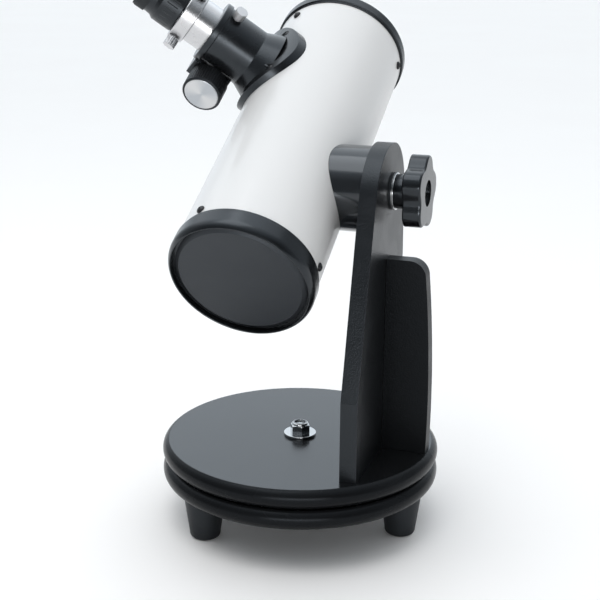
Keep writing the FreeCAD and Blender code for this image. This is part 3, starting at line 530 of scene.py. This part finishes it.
def lathe(profile: Profile, matrix: Matrix, segments: int = 96, closed: bool = True) -> bmesh.types.BMesh:
    """Turn a profile about local Z.

    Args:
        profile: (radius, height) points in metres.
        matrix: placement of the turned shape.
        segments: steps round the circle.
        closed: join the last point to the first.

    Returns:
        A bmesh with the turned shape and a polar UV map.
    """
    shape = bmesh.new()
    rings: List[List[bmesh.types.BMVert]] = []
    for radius, height in profile:
        if radius < 1e-7:
            rings.append([shape.verts.new(matrix @ Vector((0.0, 0.0, height)))])
            continue
        ring = []
        for step in range(segments):
            angle = 2 * math.pi * step / segments
            spot = Vector((radius * math.cos(angle), radius * math.sin(angle), height))
            ring.append(shape.verts.new(matrix @ spot))
        rings.append(ring)
    polar = shape.loops.layers.uv.new("polar")
    pairs = list(zip(rings, rings[1:]))
    if closed:
        pairs.append((rings[-1], rings[0]))
    for band, (lower, upper) in enumerate(pairs):
        for step in range(segments):
            after = (step + 1) % segments
            corners = [(lower[step % len(lower)], step, band)]
            if len(lower) > 1:
                corners.append((lower[after], step + 1, band))
            if len(upper) > 1:
                corners.append((upper[after], step + 1, band + 1))
            corners.append((upper[step % len(upper)], step, band + 1))
            if len(corners) < 3:
                continue
            face = shape.faces.new([corner[0] for corner in corners])
            for loop, (_, turn, level) in zip(face.loops, corners):
                loop[polar].uv = (turn / segments, level / max(1, len(pairs)))
    return shape


def ride(piece: bpy.types.Object, body: str) -> bpy.types.Object:
    """Fix a piece to a body."""
    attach(piece, body)
    LOG.info("%s rides on %s", piece.name, body)
    return piece


@dataclass
class Workshop:
    """Shared makers: effect groups and the materials made so far."""

    kit: EffectKit = field(default_factory=EffectKit)
    made: Dict[str, bpy.types.Material] = field(default_factory=dict)

    def material(self, finish: Finish) -> bpy.types.Material:
        """Make a finish's material once.

        Args:
            finish: the finish wanted.

        Returns:
            Its material.
        """
        if finish.name not in self.made:
            self.made[finish.name] = finish.material(self.kit)
        return self.made[finish.name]

    def dress(self, finish: Finish, *nodes: str) -> None:
        """Give CAD nodes a finish.

        Args:
            finish: the finish wanted.
            nodes: names of the CAD nodes.
        """
        made = self.material(finish)
        for name in nodes:
            piece = frame["nodes"][name]
            piece.data.materials.clear()
            piece.data.materials.append(made)
            LOG.info("%s is finished in %s", name, finish.name)


# -------------------------------------------------------------------- finishes
BLACK_BOARD = Finish("satin_black_laminate", (0.0042, 0.0045, 0.005), (0.006, 0.0064, 0.007), roughness=0.2,
                     spread=0.05, specular=0.62, relief=Relief.PEBBLE, relief_scale=900.0, relief_depth=0.00003,
                     wear=0.1, dust=0.012)
ARM_BOARD = Finish("textured_black_laminate", (0.0042, 0.0044, 0.005), (0.006, 0.0063, 0.007), roughness=0.3,
                   spread=0.06, specular=0.42, relief=Relief.PEBBLE, relief_scale=950.0, relief_depth=0.00009,
                   edge_radius=0.0006, wear=0.1, dust=0.01)
# Painted shade: the side arm's laminate, made darker and less reflective for the brace, which the lights leave dim.
BRACE_PAINTED_SHADE_BOARD = Finish("painted_shade_black_laminate", (0.0022, 0.0023, 0.0026), (0.0034, 0.0036, 0.004), roughness=0.36,
                     spread=0.06, specular=0.15, relief=Relief.PEBBLE, relief_scale=950.0, relief_depth=0.00009,
                     edge_radius=0.0006, wear=0.1, dust=0.008)
EDGE_TRIM = Finish("black_edge_trim", (0.0045, 0.0047, 0.0052), (0.006, 0.0063, 0.007), roughness=0.24, spread=0.06,
                   specular=0.12, relief=Relief.MOULDED, relief_scale=1800.0, relief_depth=0.000008, wear=0.08,
                   dust=0.012)
FOOT_PLASTIC = Finish("matt_foot_plastic", (0.005, 0.0053, 0.006), (0.007, 0.0074, 0.0082), roughness=0.48,
                      spread=0.1, specular=0.4, relief=Relief.MOULDED, relief_scale=2200.0, relief_depth=0.00002,
                      wear=0.1, dust=0.01)
TUBE_PAINT = Finish("gloss_white_paint", (0.715, 0.702, 0.688), (0.73, 0.716, 0.702), roughness=0.32, spread=0.06,
                    coat=0.3, coat_roughness=0.06, tint=(1.0, 1.0, 1.0), relief=Relief.PEEL, relief_scale=320.0,
                    relief_depth=0.00001, wear_colour=(0.6, 0.6, 0.6), wear=0.1, dust=0.02, mottle_scale=9.0)
TUBE_LINING = Finish("flat_black_lining", (0.008, 0.008, 0.008), (0.012, 0.012, 0.012), roughness=0.85, spread=0.08,
                     relief=Relief.CAST, relief_scale=1500.0, relief_depth=0.00005, wear=0.0, dust=0.0)
RING_PLASTIC = Finish("satin_ring_plastic", (0.003, 0.0032, 0.0036), (0.0045, 0.0047, 0.0052), roughness=0.21,
                      spread=0.06, specular=0.55, relief=Relief.MOULDED, relief_scale=1700.0, relief_depth=0.000008,
                      wear=0.08, dust=0.012)
COVER_DISC = Finish("flat_cover_disc", (0.0145, 0.0156, 0.018), (0.0175, 0.0188, 0.0212), roughness=0.42, spread=0.06,
                    relief=Relief.MOULDED, relief_scale=1900.0, relief_depth=0.000015, wear=0.06, dust=0.0)
HUB_GLOSS = Finish("gloss_black_hub", (0.0065, 0.007, 0.008), (0.009, 0.0095, 0.0105), roughness=0.13, spread=0.06,
                   coat=0.4, coat_roughness=0.05, relief=Relief.PEEL, relief_scale=260.0, relief_depth=0.000015,
                   wear=0.06, dust=0.012)
KNOB_PLASTIC = Finish("satin_knob_plastic", (0.0028, 0.003, 0.0034), (0.004, 0.0042, 0.0047), roughness=0.13,
                      spread=0.05, specular=0.5, relief=Relief.MOULDED, relief_scale=2000.0,
                      relief_depth=0.000008, wear=0.1, dust=0.012)
FOCUSER_CAST = Finish("satin_black_casting", (0.005, 0.0053, 0.006), (0.007, 0.0074, 0.0082), roughness=0.24,
                      spread=0.07, specular=0.55, relief=Relief.CAST, relief_scale=1500.0, relief_depth=0.00001,
                      wear=0.12, dust=0.012)
GRIP_PLASTIC = Finish("ribbed_grip_plastic", (0.006, 0.0062, 0.0068), (0.008, 0.0083, 0.009), roughness=0.34,
                      spread=0.08, specular=0.45, relief=Relief.MOULDED, relief_scale=2200.0,
                      relief_depth=0.00001, edge_radius=0.0002, wear=0.15, dust=0.01)
PLATED_STEEL = Finish("bright_plated_steel", (0.6, 0.61, 0.62), (0.5, 0.51, 0.52), roughness=0.09, spread=0.1,
                      metallic=1.0, relief=Relief.CAST, relief_scale=1400.0, relief_depth=0.000006,
                      edge_radius=0.0003, wear_colour=(0.9, 0.9, 0.9), wear=0.4, dust=0.0)
BLACK_SCREWS = Finish("black_oxide_screws", (0.02, 0.02, 0.022), (0.035, 0.035, 0.037), roughness=0.3, spread=0.1,
                      metallic=0.6, relief=Relief.CAST, relief_scale=2500.0, relief_depth=0.000008,
                      edge_radius=0.0002, wear_colour=(0.3, 0.3, 0.3), wear=0.3, dust=0.0)
BEARING = Finish("dark_bearing_plastic", (0.006, 0.006, 0.0065), (0.01, 0.01, 0.0105), roughness=0.42, spread=0.1,
                 relief=Relief.MOULDED, relief_scale=2500.0, relief_depth=0.00001, edge_radius=0.0002, wear=0.1,
                 dust=0.0)
CELL_METAL = Finish("cast_cell_metal", (0.42, 0.42, 0.43), (0.34, 0.34, 0.35), roughness=0.45, spread=0.15,
                    metallic=1.0, relief=Relief.CAST, relief_scale=1200.0, relief_depth=0.00003, dust=0.0)
BRASS = Finish("turned_brass", (0.62, 0.44, 0.18), (0.5, 0.34, 0.13), roughness=0.25, spread=0.15, metallic=1.0,
               relief=Relief.CAST, relief_scale=1800.0, relief_depth=0.00001, dust=0.0)
FOCUSER_STEEL = Finish("bright_focuser_steel", (0.62, 0.62, 0.63), (0.55, 0.55, 0.56), roughness=0.22, spread=0.12,
                       metallic=1.0, relief=Relief.CAST, relief_scale=1600.0, relief_depth=0.00001, dust=0.0)
EYEPIECE_SHELL = Finish("anodised_eyepiece_shell", (0.006, 0.006, 0.0065), (0.009, 0.009, 0.0095), roughness=0.28,
                        spread=0.08, relief=Relief.CAST, relief_scale=1800.0, relief_depth=0.00001, wear=0.3,
                        wear_colour=(0.3, 0.3, 0.3))
EYECUP_RUBBER = Finish("soft_eyecup_rubber", (0.01, 0.01, 0.01), (0.015, 0.015, 0.015), roughness=0.65, spread=0.12,
                       relief=Relief.MOULDED, relief_scale=1500.0, relief_depth=0.00004, wear=0.1, dust=0.06)
MIRROR_FACE = Finish("silvered_mirror", (0.88, 0.90, 0.91), (0.86, 0.88, 0.89), roughness=0.02, spread=0.03,
                     metallic=1.0, relief=Relief.NONE, wear=0.0, dust=0.01)
MATT_VANES = Finish("matt_black_vanes", (0.008, 0.008, 0.008), (0.012, 0.012, 0.012), roughness=0.7, spread=0.1,
                    relief=Relief.CAST, relief_scale=1500.0, relief_depth=0.00002, wear=0.1, dust=0.0)


PALE_NYLON = Finish("pale_nylon", (0.35, 0.36, 0.38), (0.28, 0.29, 0.31), roughness=0.45, relief=Relief.MOULDED,
                    relief_scale=2000.0, relief_depth=0.00001, wear=0.0, dust=0.0)
FLOOR_PAPER = Finish("pale_floor_paper", (0.97, 0.93, 0.90), (0.98, 0.945, 0.915), roughness=0.6, spread=0.1,
                     specular=0.2, relief=Relief.MOULDED, relief_scale=300.0, relief_depth=0.00001,
                     edge_radius=0.0001, wear=0.0, dust=0.0, mottle_scale=2.0)


@dataclass(frozen=True)
class GlassFinish:
    """Clear coated optical glass.

    Args:
        name: the material's name.
        tint: colour of the reflection coating.
        roughness: how polished it is.
    """

    name: str = "coated_lens_glass"
    tint: Colour = (0.72, 0.86, 0.95)
    roughness: float = 0.02

    def material(self, kit: EffectKit) -> bpy.types.Material:
        """Build the material.

        Args:
            kit: the shared groups.

        Returns:
            The finished material.
        """
        made = bpy.data.materials.new(self.name)
        made.use_nodes = True
        made.node_tree.nodes.clear()
        graph = Graph(made.node_tree)
        shader = graph.add("ShaderNodeBsdfPrincipled")
        leave = graph.add("ShaderNodeOutputMaterial")
        graph.link(shader.outputs["BSDF"], leave.inputs["Surface"])
        shader.inputs["Transmission Weight"].default_value = 0.9
        shader.inputs["IOR"].default_value = 1.52
        mottle = graph.add("ShaderNodeGroup", node_tree=kit.mottle)
        mottle.inputs["Scale"].default_value = 60.0
        graph.link(graph.mix(mottle.outputs["Mask"], self.tint, (0.8, 0.74, 0.92)), shader.inputs["Base Color"])
        smudge = graph.add("ShaderNodeGroup", node_tree=kit.smudge)
        graph.link(graph.remap(smudge.outputs["Mask"], 0.0, 1.0, self.roughness, self.roughness + 0.04),
                   shader.inputs["Roughness"])
        return made


# ---------------------------------------------------------------- sub-assemblies
@dataclass
class GroundBase:
    """Lower board, its trim, the feet and the azimuth bolt."""

    shop: Workshop
    body: str = "ground_base"
    insert_inner: float = 4.1 * MM
    insert_outer: float = 5.1 * MM
    insert_rise: float = 0.12 * MM
    insert_sink: float = 0.3 * MM
    insert_segments: int = 48

    def dress(self) -> None:
        """Give the CAD pieces their finishes."""
        self.shop.dress(FOOT_PLASTIC, "foot_1", "foot_2", "foot_3")
        self.shop.dress(BLACK_BOARD, "lower_board")
        self.shop.dress(EDGE_TRIM, "lower_edge_trim")
        self.shop.dress(BLACK_SCREWS, "foot_screws")
        self.shop.dress(BEARING, "glide_pads")
        self.shop.dress(PLATED_STEEL, "azimuth_bolt", "azimuth_under_washer", "azimuth_washer", "azimuth_lock_nut")

    def lock_ring(self) -> None:
        """Nylon ring that shows inside the lock nut's collar."""
        low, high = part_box("azimuth_lock_nut")
        centre = node_centre("azimuth_lock_nut")
        top = Vector((centre.x, centre.y, high[2]))
        rise = self.insert_rise
        profile = [(self.insert_inner, -self.insert_sink), (self.insert_inner, rise * 0.5),
                   ((self.insert_inner + self.insert_outer) / 2, rise), (self.insert_outer, rise * 0.4),
                   (self.insert_outer, -self.insert_sink)]
        ring = finish_mesh("lock_nut_ring", lathe(profile, Matrix.Translation(top), self.insert_segments),
                           self.shop.material(PALE_NYLON))
        ride(ring, self.body)

    def build(self) -> None:
        """Build and dress the whole base."""
        self.dress()
        self.lock_ring()


@dataclass
class Turntable:
    """Upper board, arm, brace and the fittings fixed to them."""

    shop: Workshop

    def build(self) -> None:
        """Give the CAD pieces their finishes."""
        self.shop.dress(BLACK_BOARD, "upper_board")
        self.shop.dress(EDGE_TRIM, "upper_edge_trim")
        self.shop.dress(ARM_BOARD, "side_arm")
        # Painted shade: the brace gets a darker copy of the arm's laminate.
        self.shop.dress(BRACE_PAINTED_SHADE_BOARD, "brace_board")
        self.shop.dress(BLACK_SCREWS, "board_screws", "brace_screws")
        self.shop.dress(BEARING, "azimuth_bush", "altitude_bush", "fibre_washer")
        self.shop.dress(PLATED_STEEL, "arm_washer")


@dataclass
class OpticalTube:
    """Tube, its rings, mirrors and hub."""

    shop: Workshop

    def line_the_tube(self) -> None:
        """Paint the tube's inner wall flat black."""
        shell = frame["nodes"]["tube_shell"]
        shell.data.materials.append(self.shop.material(TUBE_LINING))
        origin = Vector(joint("altitude")["pos_m"])
        low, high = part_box("tube_shell")
        axis_x = (low[0] + high[0]) / 2
        along = Vector(joint("focus_spin")["axis"]).normalized()
        start = Vector((axis_x, origin.y, origin.z))
        for face in shell.data.polygons:
            arm = face.center - start
            arm = arm - along * arm.dot(along)
            if face.normal.dot(arm) < 0:
                face.material_index = 1

    def build(self) -> None:
        """Build and dress the tube."""
        self.shop.dress(TUBE_PAINT, "tube_shell")
        self.line_the_tube()
        self.shop.dress(RING_PLASTIC, "rear_ring", "front_ring")
        self.shop.dress(COVER_DISC, "rear_cover_disc")
        self.shop.dress(BLACK_SCREWS, "cell_screws", "rear_ring_screws", "front_ring_screws", "collimation_screws",
                        "hub_screws")
        self.shop.dress(CELL_METAL, "mirror_cell", "mirror_clips")
        self.shop.dress(BEARING, "mirror_pads")
        self.shop.dress(MIRROR_FACE, "primary_mirror", "secondary_mirror")
        self.shop.dress(MATT_VANES, "secondary_spider", "secondary_holder")
        self.shop.dress(HUB_GLOSS, "altitude_hub")
        self.shop.dress(BRASS, "threaded_insert")


@dataclass
class AltitudeKnob:
    """Star knob and its stud."""

    shop: Workshop

    def build(self) -> None:
        """Give the CAD pieces their finishes."""
        self.shop.dress(KNOB_PLASTIC, "star_knob")
        self.shop.dress(PLATED_STEEL, "knob_stud")


@dataclass
class Focuser:
    """Rack-and-pinion eyepiece holder."""

    shop: Workshop
    painted_fan_turn: float = 55.0

    def spun_metal(self, name: str, centre: Vector, axis: Vector) -> Finish:
        """Finish of a spun cap with rings about its own axis and painted highlight fans across it.

        Args:
            name: the finish's name.
            centre: the middle of the cap.
            axis: the axis it was spun about.

        Returns:
            The finish.
        """
        level = Vector((1.0, 0.0, 0.0))
        across = Quaternion(axis, math.radians(self.painted_fan_turn)) @ (level - axis * level.dot(axis)).normalized()
        # Painted highlight: fans of a brighter colour across the cap stand in for the spun metal's reflection.
        return Finish(name, (0.46, 0.485, 0.51), (0.44, 0.46, 0.485), roughness=0.3, spread=0.06, metallic=1.0,
                      relief=Relief.TURNED, relief_scale=2600.0, relief_depth=0.00002, wear=0.0, dust=0.0,
                      turned=(tuple(centre), tuple(axis), 0.0), painted_fan=tuple(across), painted_highlight_colour=(0.62, 0.625, 0.63))

    def build(self) -> None:
        """Build and dress the focuser."""
        self.shop.dress(FOCUSER_CAST, "focuser_body", "pinion_cover")
        self.shop.dress(BLACK_SCREWS, "focuser_screws", "cover_screws")
        self.shop.dress(FOCUSER_STEEL, "focus_rack", "pinion_shaft", "focus_lock_screw", "eyepiece_thumbscrew_1",
                        "eyepiece_thumbscrew_2", "drawtube")
        self.shop.dress(GRIP_PLASTIC, "focus_knob_rear", "focus_knob_front")
        axis = Vector(joint("focus_spin")["axis"]).normalized()
        for side in ("rear", "front"):
            node = "focus_cap_" + side
            self.shop.dress(self.spun_metal("spun_metal_" + side, node_centre(node), axis), node)


@dataclass
class Eyepiece:
    """Eyepiece in the drawtube."""

    shop: Workshop

    def build(self) -> None:
        """Give the CAD pieces their finishes."""
        self.shop.dress(PLATED_STEEL, "eyepiece_barrel")
        self.shop.dress(EYEPIECE_SHELL, "eyepiece_body")
        self.shop.dress(EYECUP_RUBBER, "eyepiece_cup")
        glass = GlassFinish().material(self.shop.kit)
        for name in ("eye_lens", "field_lens"):
            piece = frame["nodes"][name]
            piece.data.materials.clear()
            piece.data.materials.append(glass)


# ----------------------------------------------------------------------- studio
@dataclass(frozen=True)
class Softbox:
    """One soft light.

    Args:
        name: the light's name.
        place: where it hangs.
        width: its width in metres.
        height: its height in metres.
        power: its power in watts.
    """

    name: str
    place: Tuple[float, float, float]
    width: float
    height: float
    power: float


SOFTBOXES = (
    Softbox("overhead", (-0.25, -0.35, 1.6), 1.0, 1.0, 6.0),
    Softbox("left_strip", (-1.5, -0.3, 0.7), 0.6, 1.4, 0.2),
    Softbox("right_strip", (1.6, 0.2, 0.6), 0.5, 1.2, 0.2),
    Softbox("front_fill", (0.6, -2.1, 0.12), 1.8, 0.6, 20.0),
)


@dataclass
class Studio:
    """Floor, lights, surroundings and camera.

    Args:
        kit: the shared groups.
        azimuth: how far the camera stands to the right, in degrees.
        elevation: how far it looks down, in degrees.
        stand_off: camera place from the azimuth pivot and the board's top.
        lens: focal length in millimetres.
        shift: sideways and upward shift of the frame.
        floor_half: half the floor's width in metres.
        floor_steps: squares along one side of the floor.
        glow_behind: brightness from front to back.
        glow_right: brightness towards the right.
        glow_left: brightness towards the left.
        glow_above: brightness towards the top.
        glow_colour: colour of the surroundings.
        aim: point that the soft boxes face.
        sky_power: strength of the sky light.
        sky_spread: its spread in degrees.
        sky_lean: its lean about X and Y in degrees.
    """

    kit: EffectKit
    azimuth: float = 19.718
    elevation: float = 17.358
    stand_off: Vector = field(default_factory=lambda: Vector((0.272866, -0.816631, 0.35949)))
    lens: float = 74.28
    shift: Tuple[float, float] = (0.04147, 0.0315)
    floor_half: float = 12.0
    floor_steps: int = 24
    glow_behind: Ramp = (-0.6, 0.2, 0.24, 1.3)
    glow_right: Ramp = (0.22, 0.62, 1.0, 0.36)
    glow_left: Ramp = (-1.0, -0.62, 0.3, 1.0)
    glow_above: Ramp = (0.35, 0.75, 0.0, 0.7)
    glow_colour: Colour = (0.85, 0.93, 1.0)
    aim: Vector = field(default_factory=lambda: Vector((0.0, 0.0, 0.2)))
    sky_power: float = 0.74
    sky_spread: float = 100.0
    sky_lean: Tuple[float, float] = (-12.0, -10.0)

    def floor(self) -> None:
        """Pale floor."""
        shape = bmesh.new()
        half = self.floor_half
        steps = self.floor_steps
        grid = [[shape.verts.new((half * (2 * i / steps - 1), half * (2 * j / steps - 1), 0.0))
                 for i in range(steps + 1)] for j in range(steps + 1)]
        for j in range(steps):
            for i in range(steps):
                shape.faces.new((grid[j][i], grid[j][i + 1], grid[j + 1][i + 1], grid[j + 1][i]))
        finish_mesh("floor", shape, FLOOR_PAPER.material(self.kit))

    def surroundings(self) -> None:
        """Bright sides and back, dimmer front."""
        world = bpy.data.worlds.new("studio")
        bpy.context.scene.world = world
        world.use_nodes = True
        world.node_tree.nodes.clear()
        graph = Graph(world.node_tree)
        place = graph.add("ShaderNodeTexCoord")
        parts = graph.add("ShaderNodeSeparateXYZ")
        graph.link(place.outputs["Generated"], parts.inputs["Vector"])
        behind = graph.remap(parts.outputs["Y"], *self.glow_behind)
        right = graph.remap(parts.outputs["X"], *self.glow_right)
        left = graph.remap(parts.outputs["X"], *self.glow_left)
        side = graph.maths("MULTIPLY", behind, graph.maths("MULTIPLY", left, right))
        above = graph.remap(parts.outputs["Z"], *self.glow_above)
        back = graph.maths("MAXIMUM", side, above)
        glow = graph.add("ShaderNodeBackground")
        graph.link(back, glow.inputs["Strength"])
        glow.inputs["Color"].default_value = (*self.glow_colour, 1.0)
        leave = graph.add("ShaderNodeOutputWorld")
        graph.link(glow.outputs["Background"], leave.inputs["Surface"])

    def lights(self) -> None:
        """Soft boxes and a wide, weak sky light."""
        for box in SOFTBOXES:
            light = bpy.data.lights.new(box.name, "AREA")
            light.shape = "RECTANGLE"
            light.size = box.width
            light.size_y = box.height
            light.energy = box.power
            lamp = bpy.data.objects.new(box.name, light)
            lamp.location = box.place
            lamp.rotation_euler = (self.aim - Vector(box.place)).to_track_quat("-Z", "Y").to_euler()
            bpy.context.scene.collection.objects.link(lamp)
        sky = bpy.data.lights.new("sky_bounce", "SUN")
        sky.energy = self.sky_power
        sky.angle = math.radians(self.sky_spread)
        lamp = bpy.data.objects.new("sky_bounce", sky)
        lamp.rotation_euler = (math.radians(self.sky_lean[0]), math.radians(self.sky_lean[1]), 0.0)
        bpy.context.scene.collection.objects.link(lamp)

    def camera(self) -> None:
        """Camera square to the stand's front, seen from its right and above."""
        scene = bpy.context.scene
        lens = bpy.data.cameras.new("view")
        lens.lens = self.lens
        lens.sensor_width = 36.0
        lens.sensor_fit = "HORIZONTAL"
        lens.shift_x, lens.shift_y = self.shift
        lens.clip_start = 0.01
        lens.clip_end = 60.0
        viewer = bpy.data.objects.new("view", lens)
        pivot = Vector(joint("azimuth")["pos_m"])
        viewer.location = Vector((pivot.x, pivot.y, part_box("upper_board")[1][2])) + self.stand_off
        side, rise = math.radians(self.azimuth), math.radians(self.elevation)
        ahead = Vector((-math.sin(side) * math.cos(rise), math.cos(side) * math.cos(rise), -math.sin(rise)))
        viewer.rotation_euler = ahead.to_track_quat("-Z", "Y").to_euler()
        scene.collection.objects.link(viewer)
        scene.camera = viewer
        scene.view_settings.view_transform = "Standard"

    def build(self) -> None:
        """Set up the whole studio."""
        self.floor()
        self.surroundings()
        self.lights()
        self.camera()


def main() -> None:
    """Build every sub-assembly in order."""
    logging.basicConfig(level=logging.INFO)
    shop = Workshop()
    for maker in (GroundBase(shop), Turntable(shop), OpticalTube(shop), AltitudeKnob(shop), Focuser(shop),
                  Eyepiece(shop)):
        maker.build()
    Studio(shop.kit).build()


if __name__ == "__main__":
    main()
